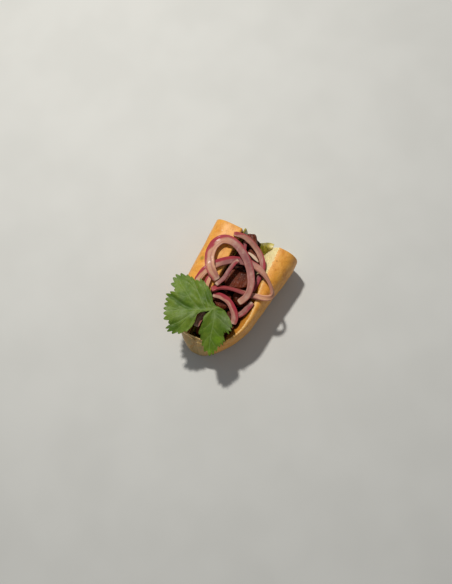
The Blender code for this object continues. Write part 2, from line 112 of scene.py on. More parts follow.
# Onion strips: knots of x, y, z, roll in degrees and width
ONION_THICK = 2
ONIONS = {
    "onion_1": ((3, 13.5, 43.4, 0, 5.5), (8.5, 21, 45.4, 0, 7), (16, 25.5, 44.8, -8, 7.4),
        (25.4, 26.9, 43.6, -10, 7.4), (32.4, 23.2, 43.6, -5, 7), (34.3, 16, 43.6, 0, 6.4),
        (31.6, 8, 43.8, 0, 6), (25.3, -0.5, 43.6, 0, 6), (18.8, -5.8, 43.2, 0, 5.6),
        (12.5, -9.6, 43.6, 0, 5.4), (6, -11.4, 43.2, 0, 5), (0.5, -11, 41.8, 0, 4.8),
        (-5, -7.8, 39.4, 0, 4.6)),
    "onion_2": ((-3.5, 27, 42, 0, 5), (6.5, 24.5, 42.8, 0, 5.6), (15, 18.6, 42.2, 0, 6),
        (21.4, 11, 40.7, 0, 5.8), (24.8, 2, 38.8, 0, 5.6), (25.2, -6, 38.8, -5, 5.4),
        (22.7, -13.6, 40.6, -40, 5), (18.9, -20.2, 40.2, -70, 4.8), (13.8, -25.7, 38.4, -70, 4.6),
        (9.9, -27.3, 37.4, -55, 4.4), (6.6, -24.3, 38.2, -15, 4.2), (4.2, -16, 38.6, 20, 4.2),
        (3.4, -7, 38, 55, 4.4), (2, 3, 38.8, 65, 4.4), (-1, 10, 40.8, 45, 4.4),
        (-4.8, 14.4, 41.8, 10, 4.2)),
    "onion_3": ((-5.8, 18.8, 42, 0, 4.2), (0, 19.6, 42, 0, 4.2), (4, 19.6, 41.8, 0, 3.2)),
    "onion_4": ((-7.4, 12.2, 38.8, 0, 4), (-6, 7, 38.2, 0, 4.6), (-6.7, 0.4, 37.4, 0, 4.8),
        (-10.5, -5.4, 36.6, 0, 5), (-15.4, -9.2, 36, 0, 5), (-20.6, -10.2, 35.2, 0, 4.6)),
    "onion_5": ((40.4, 17.4, 42.4, 0, 3.6), (41.8, 10.7, 41, 0, 4.2), (40.8, 4.5, 39.2, 0, 4.4),
        (38.1, -2.1, 37, 5, 4.4), (34, -7.6, 36.4, 6, 4.4), (28.6, -11.6, 36.4, 6, 4.2),
        (23.2, -13.1, 36.4, 6, 3.8), (17.4, -13.2, 35.9, 4, 3.4), (12, -13.1, 35.4, 0, 3.4),
        (7.6, -12.8, 35.2, 0, 3.2)),
    "onion_6": ((23, 5.8, 42, 0, 2.8), (19, 7.4, 43, 0, 2.9), (12.5, 8.8, 42.8, 0, 3),
        (6.1, 9.8, 42.4, 0, 3), (-0.6, 12.6, 43.6, 0, 3)),
    "onion_7": ((-0.6, -16.4, 38.2, 0, 3.8), (-5, -15.2, 36.8, 0, 4), (-10, -13.2, 35.2, 0, 4),
        (-14.2, -9.8, 33.4, 0, 3.4)),
    "onion_8": ((-21.8, 12, 37.4, 0, 4.6), (-27.7, 13.6, 37, 0, 4.8), (-33.6, 13.8, 36.4, 0, 4.4)),
    "onion_9": ((43, 9.4, 36.4, 0, 2.4), (37, 6.8, 35.8, 0, 2.4), (32, 5.2, 35.6, 0, 2.2)),
    "onion_sliver": ((33.2, 2.4, 36, 0, 1.2), (31.6, -2.9, 36, 0, 2.4),
        (29.6, -7.4, 35.6, 0, 1.2)),
}
# How each strip is coloured, from its first end to its last: share of its length, how far the
# skin reaches in from the left edge, how deep the skin's colour is, and how mauve the flesh is
ONION_TINTS = {
    "onion_1": ((0, 0.2, 0.5, 0.45), (0.1, 0.22, 0.7, 0.15), (0.2, 0.26, 0.9, 0.08),
        (0.29, 0.58, 1, 0.08), (0.36, 0.52, 1, 0.1), (0.41, 0.26, 0.9, 0.25),
        (0.5, 0.24, 0.8, 0.7), (0.62, 0.2, 0.7, 0.85), (0.75, 0.18, 0.5, 0.6),
        (0.88, 0.18, 0.45, 0.35), (1, 0.12, 0.2, 0)),
    "onion_2": ((0, 0.34, 1, 0.1), (0.1, 0.34, 1, 0.35), (0.2, 0.42, 1, 0.9), (0.3, 0.3, 0.8, 1),
        (0.42, 0.16, 0.5, 0.25), (0.55, 0.1, 0.3, 0.12), (0.65, 0.06, 0.1, 0.02),
        (0.74, 0.2, 0.3, 0.25), (0.8, 0.7, 0.5, 0.45), (0.87, 1.2, 0.75, 0.5),
        (1, 1.3, 0.85, 0.5)),
    "onion_3": ((0, 0.4, 1, 0.1), (1, 0.3, 0.9, 0.1)),
    "onion_4": ((0, 0.6, 0.95, 0.5), (0.35, 0.55, 0.9, 0.35), (0.65, 0.5, 1, 0.4),
        (1, 0.35, 0.6, 0.45)),
    "onion_5": ((0, 0.7, 0.9, 0.2), (0.12, 0.35, 0.7, 0.2), (0.3, 0.22, 0.5, 0.3),
        (0.5, 0.3, 0.8, 0.35), (0.62, 0.5, 0.9, 0.6), (0.75, 0.6, 0.6, 1), (1, 0.8, 0.7, 1)),
    "onion_6": ((0, 0.3, 0.3, 0.9), (0.15, 0.5, 0.7, 0.9), (0.3, 0.3, 0.5, 1), (0.5, 0.2, 0.3, 1),
        (1, 0.2, 0.2, 0.8)),
    "onion_7": ((0, 0.5, 0.6, 0.8), (1, 0.4, 0.6, 0.6)),
    "onion_8": ((0, 0.3, 0.5, 0.3), (1, 0.2, 0.3, 0.2)),
    "onion_9": ((0, 0.6, 0.6, 0.9), (1, 0.6, 0.6, 0.9)),
    "onion_sliver": ((0, 0, 0, 0), (1, 0, 0, 0)),
}

# The coriander leaf: angle and reach of the tip of each tooth, seen from the joint
LEAF_JOINT = (-17.0, 6.6, 45.5)
LEAF_THICK = 0.36
TOOTH = 2.5
VEIN_DEEP = 0.16
VALLEY_DEEP = 0.5
VALLEY_WIDE = 1.7
LEAFLET_LEFT = (
    (34, 4.4), (32, 9.2), (37, 12.4), (41, 17.3), (45, 21.8), (48.5, 24.2), (56.5, 24.6),
    (60, 29.4), (62.5, 32.4), (67.5, 36.6), (72.5, 38.9), (77, 38.6), (84.5, 37), (89, 32.4),
    (93.5, 34.6), (97.2, 37), (103, 36.3), (108.8, 36.6), (114, 36.9), (120, 36.9),
    (126.5, 37.2), (132.8, 34.4), (137.2, 37.7), (141, 37.5), (146, 35.2), (150.6, 31.5),
    (156, 26.2),
)
LEAFLET_LOWER = (
    (176, 21.6), (182.5, 24.6), (187, 28), (192, 31.4), (199.8, 33.9), (204, 33.2), (208.5, 30.8),
    (214, 28), (219, 27.2), (223.5, 25.2), (226.8, 20.6), (231, 19.6), (236, 21.6),
    (243.2, 20.9), (249.2, 19.6), (260, 15), (270, 11.2), (282, 8.6), (296, 4.6),
)
LEAF_BACK = ((322, 2.4), (346, 2.2), (371, 2.8))
# The slot between the leaflets: where its spokes end, and angles of its edges by reach
SLOT_REACHES = (20.5, 16, 12.5, 9.5, 6.5, 4)
SLOT_STEP = 1.5
SLOT_APEX = 3.4
SLOT_LEFT = ((0, 152), (3.4, 150), (7, 138.5), (9.8, 136.5), (12.4, 139.5), (16.2, 156),
    (20.5, 163), (26.2, 165))
SLOT_LOWER = ((0, 154), (3.7, 156.5), (6.5, 153), (9.5, 154), (12.5, 163), (16, 165),
    (20, 165.5), (21.6, 167))
LEFT_START = 30
LOWER_STOP = 305
# Veins in plan: width at the root, then the places that each runs through
VEINS = (
    (0.55, (-17.2, 5.9), (-20.5, 11.9), (-23.4, 17.7), (-26.6, 24.5), (-29.6, 30.9), (-34.1, 38.3)),
    (0.42, (-24.1, 19.5), (-24.3, 26.8), (-23, 32.1), (-22, 36.8), (-21.7, 41.8)),
    (0.42, (-22.2, 15.2), (-19.7, 20.6), (-17.3, 25.4), (-14.2, 30.6), (-10.6, 36.2), (-5.9, 42)),
    (0.36, (-20, 11.2), (-16.1, 17.1), (-11.6, 21.5), (-7.2, 25.8), (-2.1, 32.5)),
    (0.34, (-18.8, 9.2), (-14.3, 13.4), (-9.9, 17.1), (-1.7, 23.7)),
    (0.42, (-23.1, 16.8), (-28.2, 20), (-33, 22.9), (-37.3, 26), (-43, 31.7)),
    (0.26, (-28.2, 20), (-34.2, 21.3), (-40, 23.3), (-44.4, 24.3)),
    (0.32, (-26.7, 24.5), (-30.5, 27.8), (-34.9, 31.9), (-40, 35)),
    (0.3, (-21.7, 13.9), (-26.7, 15.6), (-32.1, 16.7), (-39.8, 17.2)),
    (0.26, (-28, 27.5), (-28.6, 32.6), (-29.7, 39.6)),
    (0.24, (-14.2, 30.6), (-14.4, 35.8), (-14.5, 41.2)),
    (0.24, (-17.3, 25.4), (-18.2, 31.2), (-18.9, 36.7)),
    (0.24, (-10.6, 36.2), (-10.2, 40.2), (-9.9, 43.4)),
    (0.24, (-11.6, 21.5), (-8.3, 28.4), (-6.7, 33.5)),
    (0.5, (-17.2, 5.9), (-22.2, 3.5), (-28.2, 1.7), (-34.4, 0.4), (-40.4, -1.2), (-48.4, -3.8)),
    (0.36, (-21.3, 3.9), (-22.2, -0.5), (-24.1, -5.9), (-25.6, -12.1)),
    (0.28, (-18.7, 4.8), (-16.8, 1), (-14.9, -2.1)),
    (0.28, (-24.7, 2.6), (-30.7, 5.2), (-36.3, 8.6)),
    (0.3, (-30, 1.4), (-32.6, -3.8), (-34.5, -9.6)),
    (0.28, (-34.4, 0.4), (-40.1, 2.5), (-45.4, 2.4)),
    (0.26, (-37.8, -0.6), (-40.7, -5), (-41.7, -8.1)),
    (0.28, (-19, 4.5), (-20, -1), (-20.1, -7.8)),
)
# Patches of the leaf: centre, radius, colour and strength
# Painted sheen: a pale greyish green that stands in for the sky's reflection on the blade
WAX = (0.2, 0.265, 0.115)
DEEP = (0.045, 0.095, 0.005)
FRESH = (0.16, 0.29, 0.01)
LEAF_PATCHES = (
    ((-11.7, 37.3, 42.8), 8, (0.16, 0.24, 0.03), 0.8), ((-40.3, 28.2, 42.9), 8, DEEP, 0.9),
    ((-12.1, 12.9, 45.6), 8, DEEP, 0.8), ((-23.3, 31.5, 43.2), 4, DEEP, 0.8),
    ((-19.4, 15.6, 45), 4, DEEP, 0.5), ((-41.3, 5, 40.2), 5, DEEP, 0.4),
    ((-30, 26.5, 44.2), 7.5, WAX, 0.55), ((-31.1, 35.5, 42.2), 5, WAX, 0.4),
    ((-28, 18.5, 45.3), 4, WAX, 0.7), ((-19.2, 31.2, 44.3), 5, WAX, 0.35),
    ((-21.3, -4.6, 44.4), 7, WAX, 0.7), ((-24.9, -9.3, 42.8), 3.6, WAX, 0.8),
    ((-22, 3.1, 45.2), 4.6, WAX, 0.5), ((-36.2, -5.4, 41.6), 5, FRESH, 0.75),
    ((-46.6, -3.5, 37.5), 4.6, FRESH, 0.6), ((-17.2, 5.9, 45.5), 2.4, (0.22, 0.27, 0.05), 0.8),
    ((-20.8, 19.6, 44.6), 0.9, (0.16, 0.035, 0.015), 1),
    ((-8.1, 24.3, 44.1), 0.9, (0.28, 0.18, 0.08), 0.9),
)

# Light and camera, in metres, watts and degrees
KEY_PLACE = (0.315, 0.37, 0.88)
KEY_AIM = (0, 0, 0.02)
KEY_SIZE = 0.065
KEY_WATTS = 8
SKY = 0.225
TABLE_HALF = 0.8
CAMERA_PLACE = (-0.07464, -0.0544, 0.44464)
CAMERA_HEADING = (-0.779, -0.626, 0)
CAMERA_RISE = 77
CAMERA_ROLL = 13.8


# ---- grids and noise

def ease(low, high, value):
    """0 below low, 1 above high, and the cubic 3t2 - 2t3 between them."""
    t = np.clip((value - low) / (high - low), 0, 1)
    return t * t * (3 - 2 * t)


def steps(count):
    """Even steps from 0 to 1."""
    return np.linspace(0, 1, count)


def held(value):
    """A number held between 0 and 1."""
    return min(1.0, max(0.0, value))


def powered(wave, power):
    """A wave from -1 to 1 whose size is raised to a power and whose sign is kept."""
    return np.sign(wave) * np.abs(wave) ** power


def lattice(i, j, k, seed):
    """A repeatable draw from 0 to 1 for each whole-numbered point, by mixing its bits."""
    h = ((i * 73856093) ^ (j * 19349663) ^ (k * 83492791) ^ (seed * 668265263)) & 0xFFFFFFFF
    h = ((h ^ (h >> 13)) * 1274126177) & 0xFFFFFFFF
    h = h ^ (h >> 16)
    return (h & 0xFFFF) / 65535.0


def noise(points, size, seed=0):
    """Smooth noise from -1 to 1: the draws of the eight lattice points round each, blended."""
    q = points / size
    i = np.floor(q).astype(np.int64)
    f = q - i
    f = f * f * (3 - 2 * f)
    total = np.zeros(points.shape[:-1])
    for corner in range(8):
        side = np.array([(corner >> axis) & 1 for axis in range(3)])
        weight = np.prod(np.where(side, f, 1 - f), axis=-1)
        total += weight * lattice(*np.moveaxis(i + side, -1, 0), seed)
    return 2 * total - 1


def layered(points, size, seed=0):
    """Three layers of noise, each half the size and half the strength of the one before."""
    return sum(noise(points, size / 2 ** n, seed + n) / 2 ** n for n in range(3)) / 1.75


def joined(*parts):
    """Points whose coordinates are these arrays, each stretched to the common shape."""
    return np.stack(np.broadcast_arrays(*parts), axis=-1).astype(float)


def smooth_path(knots, count):
    """Points spread evenly in parameter along a curve that passes through every knot."""
    knots = np.asarray(knots, dtype=float)
    ends = np.vstack([2 * knots[0] - knots[1], knots, 2 * knots[-1] - knots[-2]])
    t = np.linspace(0, len(knots) - 1 - 1e-9, count)
    i = t.astype(int)
    f = (t - i)[:, None]
    a, b, c, d = ends[i], ends[i + 1], ends[i + 2], ends[i + 3]
    return 0.5 * (2 * b + (c - a) * f + (2 * a - 5 * b + 4 * c - d) * f ** 2
                  + (3 * b - a - 3 * c + d) * f ** 3)


def even(path, count):
    """The same path with its points spread evenly by length."""
    run = np.concatenate([[0], np.cumsum(np.linalg.norm(np.diff(path, axis=0), axis=1))])
    at = np.linspace(0, run[-1], count)
    return np.column_stack([np.interp(at, run, path[:, k]) for k in range(path.shape[1])])


def outward(grid, away):
    """Unit normals of a grid, the cross product of its two directions, turned to point away."""
    normal = np.cross(np.gradient(grid, axis=0), np.gradient(grid, axis=1))
    normal /= np.maximum(np.linalg.norm(normal, axis=-1, keepdims=True), 1e-9)
    return normal if np.sum(normal * (grid - away)) > 0 else -normal


def weave(rows, columns, first, wrap):
    """Quads of a grid numbered row by row; the last column meets the first where it wraps."""
    k = np.arange(columns if wrap else columns - 1)
    n = (k + 1) % columns
    r = np.arange(rows - 1)[:, None] * columns + first
    return np.stack([r + k, r + n, r + columns + n, r + columns + k], axis=-1).reshape(-1, 4)


def add(name, data):
    """A new thing in the scene, with this data."""
    thing = bpy.data.objects.new(name, data)
    bpy.context.scene.collection.objects.link(thing)
    return thing


def make_piece(name, grids, node, slot, material, wrap=False, **marks):
    """Welds grids of points into one closed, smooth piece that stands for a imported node.

    A mark is a value for the material on every point, as one array or number for each grid.
    """
    faces, first = [], 0
    for grid in grids:
        faces.append(weave(*grid.shape[:2], first, wrap))
        first += grid[..., 0].size
    mesh = bpy.data.meshes.new(name)
    points = np.vstack([grid.reshape(-1, 3) for grid in grids]) * MM
    mesh.from_pydata(points, [], np.vstack(faces))
    for mark, values in marks.items():
        layer = mesh.attributes.new(mark, "FLOAT", "POINT")
        flat = [np.broadcast_to(v, grid.shape[:2]).ravel() for v, grid in zip(values, grids)]
        layer.data.foreach_set("value", np.concatenate(flat).astype(np.float32))
    shape = bmesh.new()
    shape.from_mesh(mesh)
    bmesh.ops.remove_doubles(shape, verts=shape.verts, dist=2e-6)
    bmesh.ops.recalc_face_normals(shape, faces=shape.faces)
    shape.to_mesh(mesh)
    shape.free()
    mesh.shade_smooth()
    mesh.materials.append(material)
    piece = add(name, mesh)
    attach(piece, "root")
    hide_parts(node)


# ---- materials

class Nodes:
    """A material under construction, with short words for the nodes that it is made of."""

    def __init__(self, name, roughness, **inputs):
        self.material = bpy.data.materials.new(name)
        self.material.use_nodes = True
        self.tree = self.material.node_tree
        self.shader = self.tree.nodes["Principled BSDF"]
        self.fill(self.shader, Roughness=roughness, **inputs)
        self.place = self.node("TexCoord").outputs["Object"]

    def put(self, target, value):
        """Links a socket, or sets a number or a colour on it."""
        if isinstance(value, bpy.types.NodeSocket):
            self.tree.links.new(value, target)
        elif hasattr(target.default_value, "__len__") and len(target.default_value) == 4:
            target.default_value = (*value, 1.0)
        else:
            target.default_value = value

    def fill(self, node, **inputs):
        """Puts a value on each named input of a node."""
        for key, value in inputs.items():
            self.put(node.inputs[key.replace("_", " ")], value)

    def node(self, kind, **inputs):
        """A new node of a kind with values on its inputs."""
        node = self.tree.nodes.new("ShaderNode" + kind)
        self.fill(node, **inputs)
        return node

    def noise(self, size, detail=3.0, stretch=None, distortion=0.0, roughness=0.55):
        """Noise from 0 to 1 with features of a size in millimetres."""
        return self.node("TexNoise", Vector=self.stretched(stretch), Scale=1 / (size * MM),
                         Detail=detail, Roughness=roughness, Distortion=distortion).outputs["Fac"]

    def cells(self, size):
        """Distance to the nearest of scattered points, whose spacing is a size in millimetres."""
        return self.node("TexVoronoi", Vector=self.place, Scale=1 / (size * MM)).outputs["Distance"]

    def stretched(self, stretch):
        """The place, turned by angles in degrees and scaled along each axis."""
        if stretch is None:
            return self.place
        turn, scale = stretch
        return self.node("Mapping", Vector=self.place, Rotation=[radians(a) for a in turn],
                         Scale=scale).outputs["Vector"]

    def mark(self, name):
        """A value that is stored on the points of the piece."""
        node = self.node("Attribute")
        node.attribute_name = name
        return node.outputs["Fac"]

    def height(self):
        """Height above the table, in metres."""
        return self.node("SeparateXYZ", Vector=self.place).outputs["Z"]

    def between(self, value, low, high, start=0.0, stop=1.0):
        """Maps a value from low..high to start..stop, smoothly and clamped."""
        node = self.node("MapRange", Value=value, From_Min=low, From_Max=high, To_Min=start,
                         To_Max=stop)
        node.interpolation_type = "SMOOTHSTEP"
        return node.outputs["Result"]

    def maths(self, kind, first, second):
        """One operation on two values."""
        node = self.node("Math")
        node.operation = kind
        self.put(node.inputs[0], first)
        self.put(node.inputs[1], second)
        return node.outputs[0]

    def mix(self, share, first, second):
        """The first colour or value, with a share of the second laid over it."""
        node = self.node("Mix")
        node.data_type = "RGBA"
        self.fill(node, Factor=share, A=first, B=second)
        return node.outputs["Result"]

    def spot(self, centre, radius):
        """1 at a place in millimetres, fading to 0 at a radius."""
        node = self.node("VectorMath")
        node.operation = "DISTANCE"
        self.put(node.inputs[0], self.place)
        self.put(node.inputs[1], [c * MM for c in centre])
        return self.between(node.outputs["Value"], 0.1 * radius * MM, radius * MM, 1.0, 0.0)

    def bump(self, height, depth, below=None):
        """Relief of a depth in millimetres for heights from 0 to 1."""
        node = self.node("Bump", Strength=1.0, Distance=depth * MM, Height=height)
        if below is not None:
            self.put(node.inputs["Normal"], below)
        return node.outputs["Normal"]

    def finish(self, colour, rough, normal):
        """Joins what is given to the shader and hands the material over."""
        for key, value in (("Base Color", colour), ("Roughness", rough), ("Normal", normal)):
            if value is not None:
                self.put(self.shader.inputs[key], value)
        return self.material


def bread_finish():
    """Egg-washed crust, mottled and paler low down, and pale crumb with pores in painted shade
    where it is cut; a painted highlight lines the right slit edge and the nose rim.
    """
    n = Nodes("brioche crust and crumb", 0.5, Subsurface_Weight=0.06, Subsurface_Scale=0.004,
              Subsurface_Radius=(1, 0.5, 0.25), Coat_Weight=0.06, Coat_Roughness=0.3,
              Specular_IOR_Level=0.35)
    crust = n.mix(n.between(n.noise(15, 3), 0.35, 0.65),
                  (0.86, 0.405, 0.078), (0.8, 0.365, 0.048))
    mottle = n.noise(4.5, 4, roughness=0.6)
    crust = n.mix(n.between(mottle, 0.45, 0.72, 0, 0.8), crust, (0.62, 0.22, 0.022))
    crust = n.mix(n.between(n.noise(2.6, 2, roughness=0.4), 0.56, 0.75, 0, 0.5), crust,
                  (0.9, 0.5, 0.15))
    crust = n.mix(n.between(n.noise(1.1, 3), 0.5, 0.75, 0, 0.4), crust, (0.48, 0.17, 0.022))
    crust = n.mix(n.between(n.height(), 0.003, 0.017, 0.7, 0), crust, (0.66, 0.37, 0.12))
    faded = n.maths("MULTIPLY", n.mark("pale"), n.between(mottle, 0.35, 0.65, 0.95, 0.65))
    crust = n.mix(faded, crust, (0.44, 0.32, 0.12))
    for centre, radius, colour in CRUST_SPECKS:
        crust = n.mix(n.spot(centre, radius), crust, colour)
    pores = n.between(n.mix(0.45, n.cells(1.1), n.noise(0.9, 3)), 0.2, 0.6)
    crumb = n.mix(n.noise(5, 3), (0.99, 0.86, 0.47), (0.98, 0.8, 0.38))
    # Painted shade: the crumb is darker in its pores
    crumb = n.mix(n.between(pores, 0, 0.6, 0.25, 0), crumb, (0.86, 0.62, 0.27))
    crumb = n.mix(n.mark("toast"), crumb, (0.6, 0.24, 0.028))
    crumb = n.mix(n.mark("stain"), crumb, (0.15, 0.035, 0.012))
    cut = n.mark("crumb")
    # Painted highlight: a light line along the right slit edge and along the nose rim
    colour = n.mix(n.mark("crest"), n.mix(cut, crust, crumb), (0.88, 0.56, 0.22))
    wet = n.maths("MAXIMUM", n.mark("stain"), n.mark("toast"))
    rough = n.maths("SUBTRACT", n.between(cut, 0, 1, 0.48, 0.8),
                    n.maths("MULTIPLY", wet, 0.4))
    wrinkle = n.bump(n.noise(2.4, 4, roughness=0.6), 0.22)
    grain = n.bump(n.noise(0.7, 2), 0.07, wrinkle)
    return n.finish(colour, rough, n.bump(n.maths("MULTIPLY", pores, cut), 0.26, grain))


def avocado_finish():
    """Mashed avocado: yellow-green, darker green streaks and a moist surface."""
    n = Nodes("mashed avocado", 0.42, Subsurface_Weight=0.2, Subsurface_Scale=0.002,
              Subsurface_Radius=(0.8, 1, 0.2), Coat_Weight=0.15, Coat_Roughness=0.25)
    colour = n.mix(n.between(n.noise(3.5, 3, distortion=0.6), 0.35, 0.65),
                   (0.44, 0.36, 0.04), (0.2, 0.165, 0.008))
    colour = n.mix(n.between(n.noise(1.6, 3), 0.5, 0.75), colour, (0.11, 0.11, 0.005))
    colour = n.mix(n.spot((47, -11, 28.5), 4.5), colour, (0.66, 0.55, 0.16))
    return n.finish(colour, None, n.bump(n.noise(1.3, 4), 0.4))


def tuna_finish(name, light, dark, turn):
    """Dark dressed tuna: streaked along its grain, flecked, moist with oil, and darker low down and
    in one gap between chunks as painted shade.
    """
    n = Nodes(name, 0.5, Subsurface_Weight=0.1, Subsurface_Scale=0.001,
              Subsurface_Radius=(1, 0.3, 0.2), Coat_Weight=0.03, Coat_Roughness=0.25,
              Specular_IOR_Level=0.1)
    grain = n.noise(1, 4, ((0, 0, turn), (0.22, 1, 1)))
    colour = n.mix(n.between(n.noise(5, 3), 0.35, 0.65), light, dark)
    colour = n.mix(n.between(grain, 0.5, 0.75, 0, 0.5), colour, (0.19, 0.05, 0.022))
    colour = n.mix(n.between(n.noise(1.3, 2), 0.62, 0.78, 0, 0.4), colour, (0.26, 0.115, 0.06))
    colour = n.mix(n.between(n.noise(0.9, 2), 0.64, 0.74, 0, 0.7), colour, (0.45, 0.27, 0.16))
    # Painted shade: a near-black spot in the gap between chunks
    colour = n.mix(n.spot((17.4, -1, 32), 5.5), colour, (0.012, 0.004, 0.003))
    # Painted shade: darker low down, where the chunks sit deep between one another
    colour = n.mix(n.between(n.height(), 0.0265, 0.0325, 0.9, 0), colour, (0.014, 0.004, 0.003))
    rough = n.between(n.noise(1.5, 3), 0.35, 0.7, 0.36, 0.65)
    relief = n.bump(grain, 0.3)
    return n.finish(colour, rough, n.bump(n.noise(0.5, 2), 0.1, relief))


def onion_finish():
    """Pickled red onion: moist, cloudy flesh with fine lengthwise streaks and crimson skin.

    Over the crust the warm colour below shows through the flesh, and cut ends are pale.
    """
    n = Nodes("pickled red onion", 0.5, Subsurface_Weight=0.08, Subsurface_Scale=0.0005,
              Subsurface_Radius=(1, 0.6, 0.6), Coat_Weight=0.025, Coat_Roughness=0.12,
              Specular_IOR_Level=0.12)
    flesh = n.mix(n.mark("pink"), (0.57, 0.3, 0.205), (0.25, 0.088, 0.092))
    flesh = n.mix(n.mark("warm"), flesh, (0.7, 0.35, 0.16))
    flesh = n.mix(n.between(n.noise(3, 3), 0.45, 0.75, 0, 0.35), flesh, (0.62, 0.43, 0.36))
    streak = n.mark("streak")
    flesh = n.mix(n.between(streak, 0.4, 0.8, 0, 0.6), flesh, (0.33, 0.1, 0.095))
    flesh = n.mix(n.mark("cut_end"), flesh, (0.68, 0.5, 0.36))
    skin = n.mix(n.noise(3.5, 2), (0.42, 0.036, 0.056), (0.27, 0.02, 0.036))
    colour = n.mix(n.mark("skin"), flesh, skin)
    return n.finish(colour, None, n.bump(streak, 0.08, n.bump(n.noise(1.2, 3), 0.1)))


def leaf_finish():
    """Coriander: deep green blade, patches of painted sheen, fresh yellow-green ones, veins, and a
    fold in painted shade.
    """
    n = Nodes("coriander leaf", 0.42, Subsurface_Weight=0.1, Subsurface_Scale=0.0012,
              Subsurface_Radius=(0.6, 1, 0.2), Specular_IOR_Level=0.22)
    green = n.mix(n.between(n.noise(8, 2), 0.35, 0.65),
                  (0.088, 0.16, 0.012), (0.135, 0.205, 0.018))
    green = n.mix(n.between(n.noise(1.2, 3), 0.5, 0.75, 0, 0.4), green, (0.042, 0.088, 0.007))
    patchy = n.noise(1.7, 4)
    # Patches of the leaf's own tone, and pale ones that are painted sheen
    for centre, radius, colour, share in LEAF_PATCHES:
        worn = n.maths("MULTIPLY", n.spot(centre, radius), n.between(patchy, 0.3, 0.6, 0.45, 1))
        green = n.mix(n.maths("MULTIPLY", worn, share), green, colour)
    green = n.mix(n.maths("MULTIPLY", n.mark("vein"), 0.55), green, (0.2, 0.275, 0.085))
    # Painted shade: darker along the fold between the upper and left lobes
    green = n.mix(n.mark("fold"), green, (0.045, 0.1, 0.01))
    rough = n.between(n.noise(3, 3), 0.35, 0.7, 0.42, 0.62)
    return n.finish(green, rough, n.bump(n.noise(0.8, 3), 0.16))


def floor_finish():
    """Pale table top, faintly clouded."""
    n = Nodes("pale table", 0.7)
    colour = n.mix(n.between(n.noise(60, 2), 0.3, 0.7), (0.61, 0.61, 0.585), (0.64, 0.64, 0.615))
    return n.finish(colour, None, n.bump(n.noise(3, 2), 0.02))


# ---- the roll

def left_reach(x):
    """Plan outline of the left wall: straight, then one long curve round to the nose."""
    u = held(-x / NOSE_TIP)
    return NOSE_Y + (LEFT_WIDE - NOSE_Y) * sqrt(1 - u ** 1.67) - 0.03 * max(0, x)


def right_reach(x):
    """Plan outline of the right wall: a steady taper, then round to the nose."""
    u = held((TAPER_FROM - x) / (TAPER_FROM + NOSE_TIP))
    return NOSE_Y + (RIGHT_WIDE - NOSE_Y + 0.2 * max(0, 38 - x)) * sqrt(1 - u ** 2)


def crowns(x):
    """Heights of the left and right crowns, which sink towards the nose."""
    s = (CUT_X - x) / 90
    g = held((TAPER_FROM - x) / TAPER_LONG)
    return LEFT_HIGH - 1.4 * s - 8.5 * g ** 2, RIGHT_HIGH - 0.8 * s - 7.5 * g ** 1.6


def slit_edges(x):
    """Y of the two crust edges of the slit, each a smooth blend of open slit and thin rim."""
    open_left = SLIT_LEFT + 4.7 * max(0, (20 - x) / 58) ** 1.5
    thin_left = left_reach(x) - RIM_LEFT
    left = 0.5 * (open_left + thin_left - hypot(open_left - thin_left, 0.8))
    thin = right_reach(x) + RIM_RIGHT
    right = 0.5 * (SLIT_RIGHT + thin + hypot(SLIT_RIGHT - thin, 2))
    u = held((x + 10) / 28)
    return left, min(right + RIGHT_IN * u * u * (3 - 2 * u), left - GAP)


def arc(centre, reach, low, high, start, stop, power, count=120):
    """A stretch of superellipse in the Y-Z plane, by angle from its widest point."""
    a = np.linspace(start, stop, count)
    y = centre + (reach - centre) * powered(np.cos(a), 2 / power)
    return np.column_stack([y, low + (high - low) * powered(np.sin(a), 2 / power)])


def edge_angle(edge, centre, reach, power):
    """The angle at which a crown's superellipse passes the slit edge."""
    share = min(1, (centre - edge) / (reach - centre))
    return pi - acos(share ** (power / 2))


def crust_path(x, count):
    """The crust from the left slit edge, over the crown, round the base to the right edge."""
    left, right = slit_edges(x)
    wide_left, wide_right = left_reach(x), right_reach(x)
    high_left, high_right = crowns(x)
    centre_left = left + 0.28 * (wide_left - left)
    centre_right = right + 0.29 * (wide_right - right)
    foot_left = NOSE_Y + 0.62 * (wide_left - NOSE_Y)
    foot_right = NOSE_Y + 0.78 * (wide_right - NOSE_Y)
    stop = 0.875 * edge_angle(right, centre_right, wide_right, 2.4)
    path = np.vstack([
        arc(centre_left, wide_left, BELLY_LEFT, high_left,
            edge_angle(left, centre_left, wide_left, 3), 0, 3),
        arc(foot_left, wide_left, BELLY_LEFT, 0, 0, pi / 2, 2)[1:],
        arc(foot_right, wide_right, BELLY_RIGHT, 0, pi / 2, 0, 2),
        arc(centre_right, wide_right, BELLY_RIGHT, high_right, 0, stop, 2.4)[1:]])
    return even(path, count)


def hollow_floor(x):
    """Height of the hollow's floor, which rises a little towards the nose."""
    return HOLLOW_FLOOR + 2 * held((-22 - x) / 16)


def hollow_path(x, left, right, count):
    """The cut faces and floor of the hollow, from the left slit edge to the right one."""
    k = (left[0] - right[0]) / SLIT
    floor = hollow_floor(x)
    knots = (left, (left[0] - 1.2 * k, 26), (left[0] - 2.6 * k, floor + 4),
             (left[0] - 6.5 * k, floor), (right[0] + 16 * k, floor),
             (right[0] + 12 * k, floor + 5), (right[0] + 6.5 * k, 27), right)
    path = even(smooth_path(knots, 300), count)
    open_share = held((x - (HOLLOW_END - CLOSING)) / CLOSING)
    across = steps(count)
    line = left + (right - left) * across[:, None]
    line[:, 1] += 1.2 * np.sin(pi * across)
    return line + open_share * (path - line)


